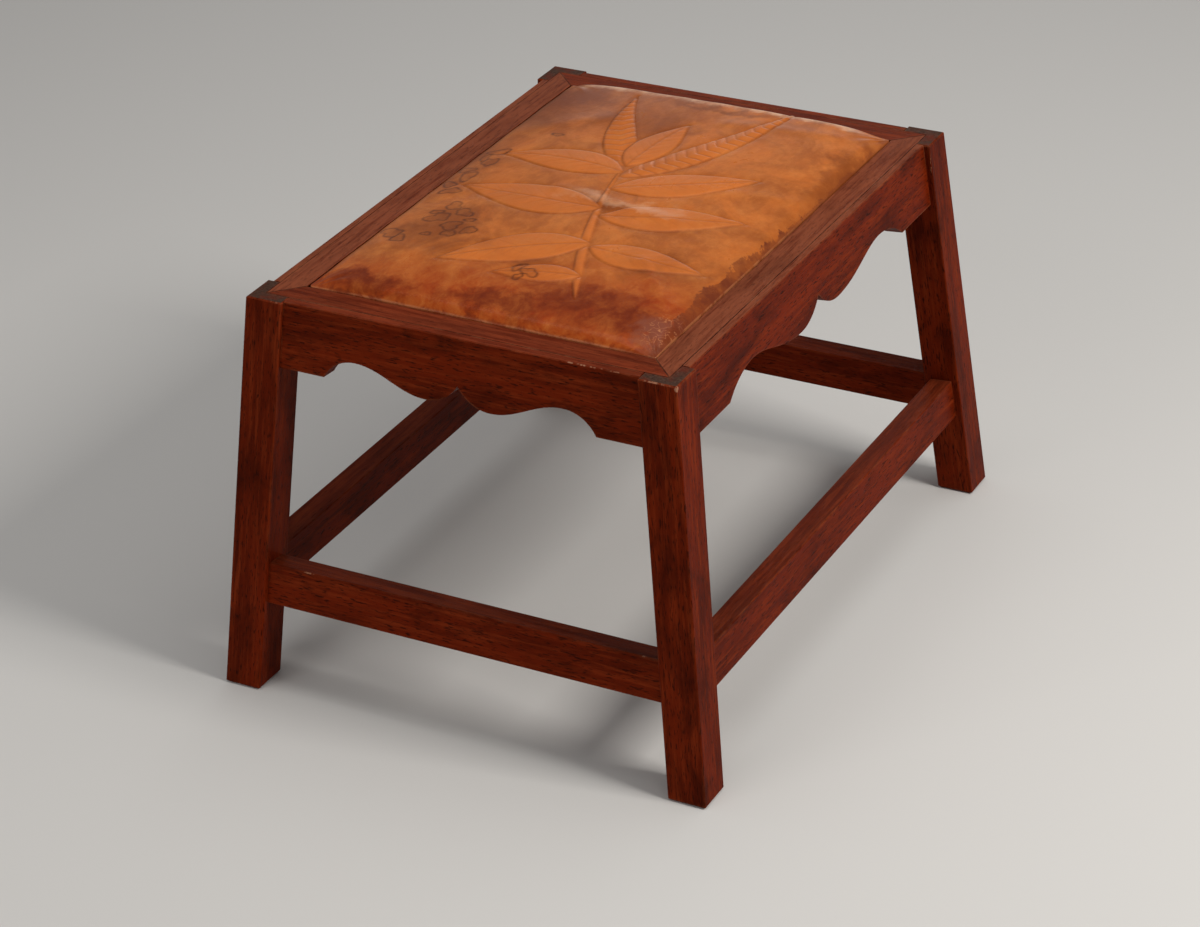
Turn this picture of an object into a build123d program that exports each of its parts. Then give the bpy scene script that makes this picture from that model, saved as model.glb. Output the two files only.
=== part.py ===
from build123d import *
import math
import os

# Low stool: four splayed legs, scalloped aprons, a box of stretchers and a leather slip seat.
# Lengths are millimetres. X runs along the short ends, Y along the long sides, Z up.
# The origin lies on the floor under the middle of the seat.

# Overall sizes
seat_height = 400.0  # floor to the flush top of legs, aprons and seat frame
top_width = 434.0  # over the leg tops, along X
top_length = 588.0  # over the leg tops, along Y
splay = 5.4  # lean of every leg face, in degrees

# Legs
leg_size = 38.0  # side of the level section
leg_arris = 1.5  # rounding of the long corners
foot_bevel = 2.5
leg_top_bevel = 1.2

# Aprons
apron_thickness = 18.0
apron_depth = 65.0  # top edge to ear and lobe, down the leaning face
crown_depth = 45.0  # top edge to the crown of each arch
notch_depth = 45.5  # top edge to the middle notch
apron_top_bevel = 0.8
end_apron_setback = 4.0  # behind the leg faces
side_apron_setback = 6.0
end_ear = 138.5  # middle of the apron to the ear's corner
end_crown = 105.5
end_lobe = 33.0
side_ear = 191.5
side_crown = 139.0
side_lobe = 40.0
end_pull_shares = (0.38, 0.38)  # flat run of the ogee at lobe and crown, of the step between them
side_pull_shares = (0.45, 0.30)

# Stretchers
stretcher_thickness = 23.5
stretcher_depth = 42.0
stretcher_top = 134.0  # floor to the outer top edge
end_stretcher_setback = 5.5
side_stretcher_setback = 7.5
stretcher_arris = 1.2

# Mortise and tenon joints
apron_tenon_length = 16.0
apron_tenon_thickness = 8.0
apron_tenon_drop = 26.0  # top edge of the apron to the tenon
apron_tenon_depth = 32.0
stretcher_tenon_length = 12.0
stretcher_tenon_thickness = 9.0
stretcher_tenon_shoulder = 5.0  # above and below the tenon
tenon_fit = 0.15  # gap round each tenon
mortise_spare = 0.6  # space past the tenon's end

# Mitred seat frame, let into aprons and leg tops
frame_setback = 13.0  # leg faces to the recess of the frame
frame_fit = 0.3
rail_width = 27.0
rail_depth = 20.0
rail_arris = 0.8  # easing of the upper inner edge
ledge_width = 8.0
ledge_depth = 9.0

# Slip seat
seat_gap = 0.4  # between seat and frame
leather_thickness = 2.0
fold_width = 28.0  # leather turned under the board
board_thickness = 9.0
seat_corner = 9.0
seat_roll = 8.0  # rounding of the seat's upper edge
rim_rise = 12.5  # leather above the frame at its rim
crown_rise = 20.0  # leather above the frame in the middle
rim_flat = 1.0  # between rolled edge and crown
rim_overlap = 2.0  # crown below the rim, inside the seat
pad_gap = 0.3

# Corner blocks
block_reach = 70.0  # along each apron
block_tip = 9.0  # square end of each arm
block_depth = 22.0
block_gap = 0.3  # to the leg

overrun = 5.0  # how far every cut runs past the wood

# Values that follow
angle = math.radians(splay)
lean = math.tan(angle)
tilt = math.sin(angle)
half_width = top_width / 2
half_length = top_length / 2
frame_bottom = seat_height - rail_depth
ledge_top = frame_bottom + ledge_depth
seat_width = top_width - 2 * (frame_setback + rail_width + seat_gap)
seat_length = top_length - 2 * (frame_setback + rail_width + seat_gap)
board_bottom = ledge_top + leather_thickness
board_top = board_bottom + board_thickness
rim_height = seat_height + rim_rise
crown_height = seat_height + crown_rise
crown_half_width = seat_width / 2 - seat_roll - rim_flat
crown_half_length = seat_length / 2 - seat_roll - rim_flat
block_corner_x = half_width + lean * rail_depth - side_apron_setback - apron_thickness / math.cos(angle)
block_corner_y = half_length + lean * rail_depth - end_apron_setback - apron_thickness / math.cos(angle)


def end_face(setback, height, toward=-1):
    """Leaning face across an end, behind the leg faces by a setback; toward -1 is the front."""
    reach = half_length + lean * (seat_height - height) - setback
    return Plane(
        origin=(0, toward * reach, height),
        x_dir=(-toward, 0, 0),
        z_dir=(0, toward * math.cos(angle), math.sin(angle)),
    )


def side_face(setback, height, toward=1):
    """Leaning face along a side, behind the leg faces by a setback; toward 1 is the right."""
    reach = half_width + lean * (seat_height - height) - setback
    return Plane(
        origin=(toward * reach, 0, height),
        x_dir=(0, toward, 0),
        z_dir=(toward * math.cos(angle), 0, math.sin(angle)),
    )


def shoulder(half_top, height):
    """Distance from a board's middle to its shoulder on the leg, at a height."""
    return half_top - leg_size + lean * (seat_height - height)


def post(slack, mode):
    """Leaning square post at the front right corner, thicker on its two inner sides by a slack."""
    foot_x = half_width + lean * seat_height
    foot_y = half_length + lean * seat_height
    with BuildSketch(Plane.XY) as section:
        with Locations((foot_x, -foot_y)):
            Rectangle(leg_size + slack, leg_size + slack, align=(Align.MAX, Align.MIN))
    extrude(section.sketch, amount=seat_height * math.hypot(1, lean, lean), dir=(-lean, lean, 1), mode=mode)


def frame_recess():
    """Cut the rebate that takes the seat frame."""
    with BuildSketch(Plane.XY.offset(frame_bottom)) as recess:
        Rectangle(top_width - 2 * frame_setback, top_length - 2 * frame_setback)
    extrude(recess.sketch, amount=rail_depth + overrun, mode=Mode.SUBTRACT)


def tenon(face, thickness, tongue, root, length, top, bottom, slack, toward, mode):
    """Tongue in the middle of a board's thickness; its end is parallel to the shoulder."""
    start = root - overrun
    end = root + length
    high = top + slack
    low = bottom - slack
    with BuildSketch(face.offset(slack - (thickness - tongue) / 2)) as outline:
        with BuildLine():
            Polyline(
                (toward * start, high),
                (toward * (end - tilt * high), high),
                (toward * (end - tilt * low), low),
                (toward * start, low),
                close=True,
            )
        make_face()
    extrude(outline.sketch, amount=-(tongue + 2 * slack), mode=mode)


def apron_tenon(face, half_top, slack, spare, toward, mode):
    """Tenon of an apron, or with slack and spare length the mortise for it."""
    tenon(
        face,
        apron_thickness,
        apron_tenon_thickness,
        shoulder(half_top, seat_height),
        apron_tenon_length + spare,
        -apron_tenon_drop,
        -(apron_tenon_drop + apron_tenon_depth),
        slack,
        toward,
        mode,
    )


def stretcher_tenon(face, half_top, slack, spare, toward, mode):
    """Tenon of a stretcher, or with slack and spare length the mortise for it."""
    tenon(
        face,
        stretcher_thickness,
        stretcher_tenon_thickness,
        shoulder(half_top, stretcher_top),
        stretcher_tenon_length + spare,
        -stretcher_tenon_shoulder,
        stretcher_tenon_shoulder - stretcher_depth,
        slack,
        toward,
        mode,
    )


def scalloped_face(ear, crown, lobe, pull_shares, far):
    """Face of an apron: middle notch, two lobes, ogees, arches and square ears."""
    step = crown - lobe
    with BuildLine() as outline:
        TangentArc((lobe, -apron_depth), (0, -notch_depth), tangent=(-1, 0))
        Bezier(
            (lobe, -apron_depth),
            (lobe + pull_shares[0] * step, -apron_depth),
            (crown - pull_shares[1] * step, -crown_depth),
            (crown, -crown_depth),
        )
        TangentArc((crown, -crown_depth), (ear, -apron_depth), tangent=(1, 0))
        Polyline((ear, -apron_depth), (far, -apron_depth), (far, overrun), (0, overrun))
        mirror(about=Plane.YZ)
    make_face(outline.edges())


def crown_section(half):
    """Shallow arch over the seat's rim, deep enough to join the seat under it."""
    root = rim_height - rim_overlap
    with BuildLine() as outline:
        ThreePointArc((-half, rim_height), (0, crown_height), (half, rim_height))
        Polyline((half, rim_height), (half, root), (-half, root), (-half, rim_height))
    make_face(outline.edges())


def crowned_body(body, inset, base):
    """Seat drawn in all over by an inset: straight sides, rolled rim and hipped shallow crown."""
    with BuildSketch(Plane.XY.offset(base)) as plan:
        RectangleRounded(seat_width - 2 * inset, seat_length - 2 * inset, seat_corner - inset)
    extrude(plan.sketch, amount=rim_height - inset - base)
    fillet(body.faces().sort_by(Axis.Z)[-1].edges(), radius=seat_roll - inset)
    with Locations((0, 0, -inset)):
        add(seat_crown.part)


end_apron_face = end_face(end_apron_setback, seat_height)
side_apron_face = side_face(side_apron_setback, seat_height)
end_stretcher_face = end_face(end_stretcher_setback, stretcher_top)
side_stretcher_face = side_face(side_stretcher_setback, stretcher_top)

# Leg: leaning post with four mortises; its top keeps an L of end grain round the frame's corner
with BuildPart() as leg_front_right:
    post(0, Mode.ADD)
    chamfer(leg_front_right.edges().group_by(Axis.Z)[0], length=foot_bevel)
    chamfer(leg_front_right.edges().group_by(Axis.Z)[-1], length=leg_top_bevel)
    fillet(leg_front_right.edges().filter_by(lambda edge: edge.length > seat_height / 2), radius=leg_arris)
    frame_recess()
    apron_tenon(end_apron_face, half_width, tenon_fit, mortise_spare, 1, Mode.SUBTRACT)
    apron_tenon(side_apron_face, half_length, tenon_fit, mortise_spare, -1, Mode.SUBTRACT)
    stretcher_tenon(end_stretcher_face, half_width, tenon_fit, mortise_spare, 1, Mode.SUBTRACT)
    stretcher_tenon(side_stretcher_face, half_length, tenon_fit, mortise_spare, -1, Mode.SUBTRACT)


with BuildPart() as leg_front_left:
    mirror(leg_front_right.part, about=Plane.YZ)

with BuildPart() as leg_back_right:
    mirror(leg_front_right.part, about=Plane.XZ)

with BuildPart() as leg_back_left:
    mirror(leg_front_left.part, about=Plane.XZ)

# End apron: scalloped board that leans with the legs, tenoned into them, rebated for the frame
with BuildPart() as apron_front:
    with BuildSketch(end_apron_face):
        scalloped_face(end_ear, end_crown, end_lobe, end_pull_shares, half_width)
    extrude(amount=-apron_thickness)
    split(bisect_by=Plane.XY.offset(seat_height), keep=Keep.BOTTOM)
    chamfer(apron_front.edges().group_by(Axis.Z)[-1].sort_by(Axis.Y)[0], length=apron_top_bevel)
    for toward in (1, -1):
        split(bisect_by=side_face(leg_size, seat_height, toward), keep=Keep.BOTTOM)
    for toward in (1, -1):
        apron_tenon(end_apron_face, half_width, 0, 0, toward, Mode.ADD)
    frame_recess()

with BuildPart() as apron_back:
    mirror(apron_front.part, about=Plane.XZ)

# Side apron: the same make, longer, with a wider sweep between lobe and arch
with BuildPart() as apron_right:
    with BuildSketch(side_apron_face):
        scalloped_face(side_ear, side_crown, side_lobe, side_pull_shares, half_length)
    extrude(amount=-apron_thickness)
    split(bisect_by=Plane.XY.offset(seat_height), keep=Keep.BOTTOM)
    chamfer(apron_right.edges().group_by(Axis.Z)[-1].sort_by(Axis.X)[-1], length=apron_top_bevel)
    for toward in (1, -1):
        split(bisect_by=end_face(leg_size, seat_height, toward), keep=Keep.BOTTOM)
    for toward in (1, -1):
        apron_tenon(side_apron_face, half_length, 0, 0, toward, Mode.ADD)
    frame_recess()

with BuildPart() as apron_left:
    mirror(apron_right.part, about=Plane.YZ)

# Stretchers: plain boards that lean with the legs, all four at one height
with BuildPart() as stretcher_front:
    with BuildSketch(end_stretcher_face):
        Rectangle(top_width, stretcher_depth, align=(Align.CENTER, Align.MAX))
    extrude(amount=-stretcher_thickness)
    fillet(stretcher_front.edges().filter_by(Axis.X), radius=stretcher_arris)
    for toward in (1, -1):
        split(bisect_by=side_face(leg_size, stretcher_top, toward), keep=Keep.BOTTOM)
    for toward in (1, -1):
        stretcher_tenon(end_stretcher_face, half_width, 0, 0, toward, Mode.ADD)

with BuildPart() as stretcher_back:
    mirror(stretcher_front.part, about=Plane.XZ)

with BuildPart() as stretcher_right:
    with BuildSketch(side_stretcher_face):
        Rectangle(top_length, stretcher_depth, align=(Align.CENTER, Align.MAX))
    extrude(amount=-stretcher_thickness)
    fillet(stretcher_right.edges().filter_by(Axis.Y), radius=stretcher_arris)
    for toward in (1, -1):
        split(bisect_by=end_face(leg_size, stretcher_top, toward), keep=Keep.BOTTOM)
    for toward in (1, -1):
        stretcher_tenon(side_stretcher_face, half_length, 0, 0, toward, Mode.ADD)

with BuildPart() as stretcher_left:
    mirror(stretcher_right.part, about=Plane.YZ)

# Seat frame: four mitred rails with a ledge inside their lower edge that carries the slip seat
frame_x = half_width - frame_setback - frame_fit
frame_y = half_length - frame_setback - frame_fit
rail_inner = rail_width - frame_fit
mitre_right = Plane(origin=(frame_x, -frame_y, 0), z_dir=(1, 1, 0))
mitre_left = Plane(origin=(-frame_x, -frame_y, 0), z_dir=(-1, 1, 0))
mitre_near = Plane(origin=(frame_x, -frame_y, 0), z_dir=(-1, -1, 0))
mitre_far = Plane(origin=(frame_x, frame_y, 0), z_dir=(-1, 1, 0))

with BuildPart() as seat_rail_front:
    with BuildSketch(Plane.YZ.offset(-frame_x)):
        with Locations((-frame_y, frame_bottom)):
            Rectangle(rail_inner, rail_depth, align=Align.MIN)
            Rectangle(rail_inner + ledge_width, ledge_depth, align=Align.MIN)
    extrude(amount=2 * frame_x)
    fillet(seat_rail_front.edges().group_by(Axis.Z)[-1].sort_by(Axis.Y)[-1], radius=rail_arris)
    split(bisect_by=mitre_right, keep=Keep.BOTTOM)
    split(bisect_by=mitre_left, keep=Keep.BOTTOM)

with BuildPart() as seat_rail_back:
    mirror(seat_rail_front.part, about=Plane.XZ)

with BuildPart() as seat_rail_right:
    with BuildSketch(Plane.XZ.offset(-frame_y)):
        with Locations((frame_x, frame_bottom)):
            Rectangle(rail_inner, rail_depth, align=(Align.MAX, Align.MIN))
            Rectangle(rail_inner + ledge_width, ledge_depth, align=(Align.MAX, Align.MIN))
    extrude(amount=2 * frame_y)
    fillet(seat_rail_right.edges().group_by(Axis.Z)[-1].sort_by(Axis.X)[0], radius=rail_arris)
    split(bisect_by=mitre_near, keep=Keep.BOTTOM)
    split(bisect_by=mitre_far, keep=Keep.BOTTOM)

with BuildPart() as seat_rail_left:
    mirror(seat_rail_right.part, about=Plane.YZ)

# Corner block: stands in the corner of two aprons, notched round the leg, under the seat frame
with BuildPart() as corner_block_front_right:
    with BuildSketch(Plane(origin=(block_corner_x, -block_corner_y, frame_bottom))):
        with BuildLine():
            Polyline(
                (overrun, -overrun),
                (block_tip - block_reach, -overrun),
                (block_tip - block_reach, block_tip),
                (-block_tip, block_reach - block_tip),
                (overrun, block_reach - block_tip),
                close=True,
            )
        make_face()
    extrude(amount=-block_depth)
    split(bisect_by=end_apron_face.offset(-apron_thickness), keep=Keep.BOTTOM)
    split(bisect_by=side_apron_face.offset(-apron_thickness), keep=Keep.BOTTOM)
    post(block_gap, Mode.SUBTRACT)

with BuildPart() as corner_block_front_left:
    mirror(corner_block_front_right.part, about=Plane.YZ)

with BuildPart() as corner_block_back_right:
    mirror(corner_block_front_right.part, about=Plane.XZ)

with BuildPart() as corner_block_back_left:
    mirror(corner_block_front_left.part, about=Plane.XZ)

# Crown of the seat: two shallow arches that meet along hips
with BuildPart() as seat_crown:
    with BuildSketch(Plane.XZ):
        crown_section(crown_half_width)
    extrude(amount=crown_half_length, both=True)
    with BuildSketch(Plane.YZ):
        crown_section(crown_half_length)
    extrude(amount=crown_half_width, both=True, mode=Mode.INTERSECT)

# Leather: crowned skin with a rolled edge, turned in under the board
with BuildPart() as seat_hollow:
    crowned_body(seat_hollow, leather_thickness, board_bottom)

with BuildPart() as leather_cover:
    crowned_body(leather_cover, 0, ledge_top)
    add(seat_hollow.part, mode=Mode.SUBTRACT)
    with BuildSketch(Plane.XY.offset(ledge_top)):
        RectangleRounded(seat_width - 2 * fold_width, seat_length - 2 * fold_width, seat_corner)
    extrude(amount=leather_thickness + overrun / 2, mode=Mode.SUBTRACT)

# Padding between board and leather
pad_inset = leather_thickness + pad_gap
with BuildPart() as seat_padding:
    crowned_body(seat_padding, pad_inset, board_top)

# Board of the slip seat
with BuildPart() as seat_board:
    with BuildSketch(Plane.XY.offset(board_bottom)):
        RectangleRounded(seat_width - 2 * pad_inset, seat_length - 2 * pad_inset, seat_corner - pad_inset)
    extrude(amount=board_thickness)

pieces = {
    "leg_front_left": leg_front_left,
    "leg_front_right": leg_front_right,
    "leg_back_right": leg_back_right,
    "leg_back_left": leg_back_left,
    "apron_front": apron_front,
    "apron_right": apron_right,
    "apron_back": apron_back,
    "apron_left": apron_left,
    "stretcher_front": stretcher_front,
    "stretcher_right": stretcher_right,
    "stretcher_back": stretcher_back,
    "stretcher_left": stretcher_left,
    "seat_rail_front": seat_rail_front,
    "seat_rail_right": seat_rail_right,
    "seat_rail_back": seat_rail_back,
    "seat_rail_left": seat_rail_left,
    "corner_block_front_left": corner_block_front_left,
    "corner_block_front_right": corner_block_front_right,
    "corner_block_back_right": corner_block_back_right,
    "corner_block_back_left": corner_block_back_left,
    "leather_cover": leather_cover,
    "seat_padding": seat_padding,
    "seat_board": seat_board,
}
os.makedirs("parts", exist_ok=True)
for name, piece in pieces.items():
    piece.part.label = name
    export_step(piece.part, f"parts/{name}.step")
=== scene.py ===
# %% [markdown]
# # A low stool with a tooled leather seat
#
# The stool has four square legs that splay both ways, scalloped aprons, a box of stretchers
# and a drop-in seat under glazed leather. Its joinery is already drawn as solids, and this
# lesson loads them as a fixed frame. What is left is what a solid can't show: wood with grain
# and wear, leather with a crown, creases and tooling, and the small fasteners underneath.

# %% The frame
import math

import bpy
import numpy as np
from mathutils import Matrix, Vector


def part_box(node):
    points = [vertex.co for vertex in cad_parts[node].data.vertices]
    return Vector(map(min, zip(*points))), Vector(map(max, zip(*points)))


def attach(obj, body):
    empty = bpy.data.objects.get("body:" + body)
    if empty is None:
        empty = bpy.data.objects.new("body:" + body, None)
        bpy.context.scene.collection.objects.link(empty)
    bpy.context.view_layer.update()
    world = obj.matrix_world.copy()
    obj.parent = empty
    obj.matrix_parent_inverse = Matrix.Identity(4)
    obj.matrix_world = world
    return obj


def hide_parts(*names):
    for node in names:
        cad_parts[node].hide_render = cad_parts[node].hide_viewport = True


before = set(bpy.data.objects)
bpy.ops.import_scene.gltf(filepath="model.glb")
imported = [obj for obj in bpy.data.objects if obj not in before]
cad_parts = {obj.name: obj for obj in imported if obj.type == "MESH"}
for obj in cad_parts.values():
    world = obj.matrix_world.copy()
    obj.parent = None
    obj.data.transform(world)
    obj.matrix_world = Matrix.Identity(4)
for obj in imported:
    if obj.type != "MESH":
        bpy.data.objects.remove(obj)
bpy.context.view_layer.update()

scene = bpy.context.scene
scene.view_settings.view_transform = "Standard"
MM = 0.001

# %% [markdown]
# ## The camera
#
# The camera stands in front and to the right, looks down on the seat through a long lens and is
# held a little off level. Heading, dip and roll are three turns in a fixed order, so they are
# written as three rotations multiplied together, which is easier to read and to correct than one
# table of nine numbers.

# %% Camera
heading, dip, roll = (math.radians(v) for v in (28.681, 28.976, -2.191))
camera_place = (1.3819, -2.5638, 1.7414)
camera_data = bpy.data.cameras.new("view")
camera_data.sensor_width = 36.0
camera_data.lens = 102.0
camera = bpy.data.objects.new("view", camera_data)
turn = (
    Matrix.Rotation(heading, 4, "Z")
    @ Matrix.Rotation(math.pi / 2 - dip, 4, "X")
    @ Matrix.Rotation(roll, 4, "Z")
)
camera.matrix_world = Matrix.Translation(camera_place) @ turn
scene.collection.objects.link(camera)
scene.camera = camera
print("camera looks along", [round(v, 3) for v in turn @ Vector((0, 0, -1, 0))][:3])

# %% [markdown]
# ## Light and floor
#
# A broad soft lamp stands to the right, a little over forty degrees up: right-hand faces and the
# seat are bright, front faces keep half of that, and the shadow falls to the left. A sheet of
# light overhead and a weak one on the near side keep the dark wood readable. Low behind the stool
# a faint long panel lies in the leather's mirror direction and adds some gleam to its far edge.

# %% Lamps
def lamp(name, place, aim, size, power, colour=(1.0, 1.0, 1.0), height=None):
    """Area lamp at a place, turned towards a point; a height makes it a panel wider than high."""
    data = bpy.data.lights.new(name, "AREA")
    data.size = size
    if height:
        data.shape = "RECTANGLE"
        data.size_y = height
    data.energy = power
    data.color = colour
    item = bpy.data.objects.new(name, data)
    facing = (Vector(aim) - Vector(place)).to_track_quat("-Z", "Y").to_matrix().to_4x4()
    item.matrix_world = Matrix.Translation(place) @ facing
    scene.collection.objects.link(item)


seat_middle = (0.0, 0.0, 0.30)
lamp("key", (2.45, -0.15, 2.36), seat_middle, 0.9, 74.0, (1.0, 0.985, 0.96))
lamp("sky", (0.2, 0.3, 3.0), seat_middle, 2.6, 27.0)
lamp("near_side", (-0.9, -3.2, 1.7), seat_middle, 2.2, 26.0)
lamp("far_panel", (-1.2, 3.55, 0.84), seat_middle, 1.7, 3.6, height=0.4)
world = bpy.data.worlds.new("room_air")
scene.world = world
world.use_nodes = True
background = world.node_tree.nodes["Background"].inputs
background["Color"].default_value = (0.96, 0.97, 1.0, 1.0)
background["Strength"].default_value = 0.20

# %% [markdown]
# ## Short words for material nodes
#
# Every finish below is a small network. A few helpers keep the recipes short enough to read: one
# places a node and fills or links its sockets, and the others are the sums, masks, noises and
# blends that all the finishes share.

# %% Node helpers
class Finish:
    """One material and its network; every call places one node and returns its output."""

    def __init__(self, name):
        self.material = bpy.data.materials.new(name)
        self.material.use_nodes = True
        self.tree = self.material.node_tree
        self.shader = self.tree.nodes["Principled BSDF"]

    def node(self, kind, settings=None, **sockets):
        """Place a node; sockets are given by name with underscores, or as i0, i1 by position."""
        made = self.tree.nodes.new("ShaderNode" + kind)
        for key, value in (settings or {}).items():
            setattr(made, key, value)
        for key, value in sockets.items():
            by_position = key[0] == "i" and key[1:].isdigit()
            self.set(made, int(key[1:]) if by_position else key.replace("_", " "), value)
        return made

    def set(self, made, key, value):
        """Fill one socket with a value, or link it to another node's output."""
        socket = made.inputs[key]
        if isinstance(value, bpy.types.NodeSocket):
            self.tree.links.new(value, socket)
        else:
            socket.default_value = value

    def math(self, operation, first, second=0.0):
        """One sum on one or two values."""
        return self.node("Math", {"operation": operation}, i0=first, i1=second).outputs[0]

    def both(self, first, second):
        """Mask where two masks meet: their product."""
        return self.math("MULTIPLY", first, second)

    def either(self, first, second):
        """Mask of two masks together: the higher of the two."""
        return self.math("MAXIMUM", first, second)

    def size_of(self, value):
        """A value without its sign."""
        return self.math("ABSOLUTE", value)

    def vector(self, operation, first, second):
        """One sum on two vectors."""
        return self.node("VectorMath", {"operation": operation}, i0=first, i1=second).outputs

    def noise(self, vector, scale, detail=3.0, roughness=0.5, distortion=0.0):
        """Smooth noise between 0 and 1."""
        sockets = {"Scale": scale, "Detail": detail, "Roughness": roughness, "Distortion": distortion}
        return self.node("TexNoise", Vector=vector, **sockets).outputs["Fac"]

    def span(self, value, low, high, to_low=0.0, to_high=1.0):
        """Stretch a range of a value to another range, and clip it there."""
        settings = {"clamp": True}
        return self.node("MapRange", settings, i0=value, i1=low, i2=high, i3=to_low, i4=to_high).outputs[0]

    def blend(self, mask, first, second):
        """Blend two colours by a mask; a colour mix has its colours at sockets 6 and 7."""
        return self.node("Mix", {"data_type": "RGBA"}, i0=mask, i6=first, i7=second).outputs[2]

    def placed(self, vector, scale=(1.0, 1.0, 1.0), turn=(0.0, 0.0, 0.0), shift=(0.0, 0.0, 0.0)):
        """Turn, shift and stretch the coordinates that a pattern reads."""
        return self.node("Mapping", Vector=vector, Location=shift, Rotation=turn, Scale=scale).outputs[0]

    def oval(self, place, centre, size):
        """Field that is 1 at a centre and falls to 0 at an oval's outline, in millimetres."""
        middle = tuple(v * MM for v in centre)
        per_size = tuple(1 / (v * MM) for v in size)
        shifted = self.vector("SUBTRACT", place, middle)[0]
        scaled = self.vector("MULTIPLY", shifted, per_size)[0]
        away = self.node("VectorMath", {"operation": "LENGTH"}, i0=scaled).outputs["Value"]
        return self.span(away, 1.0, 0.40)

    def ovals(self, place, fields):
        """The highest of several ovals."""
        highest = 0.0
        for centre, size in fields:
            highest = self.either(self.oval(place, centre, size), highest)
        return highest

    def bump(self, height, strength, distance):
        """Shading normal from a height in metres."""
        return self.node("Bump", Strength=strength, Distance=distance, Height=height).outputs[0]


# %% Floor
def floor_finish():
    """Pale matt floor."""
    f = Finish("floor_paint")
    f.set(f.shader, "Base Color", (0.62, 0.60, 0.57, 1.0))
    f.set(f.shader, "Roughness", 0.85)
    return f.material


FLOOR_HALF = 6.0
corners = [(x * FLOOR_HALF, y * FLOOR_HALF, 0.0) for x, y in ((-1, -1), (1, -1), (1, 1), (-1, 1))]
floor_mesh = bpy.data.meshes.new("floor")
floor_mesh.from_pydata(corners, [], [(0, 1, 2, 3)])
floor = bpy.data.objects.new("floor", floor_mesh)
floor_mesh.materials.append(floor_finish())
scene.collection.objects.link(floor)

# %% [markdown]
# ## The wood
#
# The wood is a red-brown hardwood under a thin dark stain and a worn, slightly waxed finish. Up
# close it shows three things: broad figure along the board, fine streaks, and short open pores.
# All three are the same noise, stretched along the grain by different amounts. Each board turns
# the pattern to its own grain direction and starts at its own place in it, so no two match.
# Edges are lighter where hands and shoes rubbed the stain off; the Bevel node finds them by
# comparing a rounded normal with the true one. Level faces carry a painted sheen of pale dusty
# red, most on the boards that run along the sides, and fine dark streaks stay in it. The tops of
# the legs are cut across the grain and show grey-brown end grain.

# %% Wood finish
WOOD = {
    "deep": (0.038, 0.0036, 0.0008, 1.0), "dark": (0.074, 0.0066, 0.0012, 1.0),
    "mid": (0.140, 0.0128, 0.0020, 1.0), "light": (0.240, 0.034, 0.0075, 1.0),
    "pore": (0.018, 0.0028, 0.0012, 1.0), "rubbed": (0.230, 0.075, 0.034, 1.0),
    "chip_and_glint": (0.330, 0.150, 0.085, 1.0), "painted_sheen": (0.235, 0.070, 0.033, 1.0),
    "dirt_and_shade": (0.012, 0.0035, 0.0020, 1.0),
    "end_dark": (0.030, 0.014, 0.010, 1.0), "end_light": (0.080, 0.040, 0.026, 1.0),
}


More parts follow.
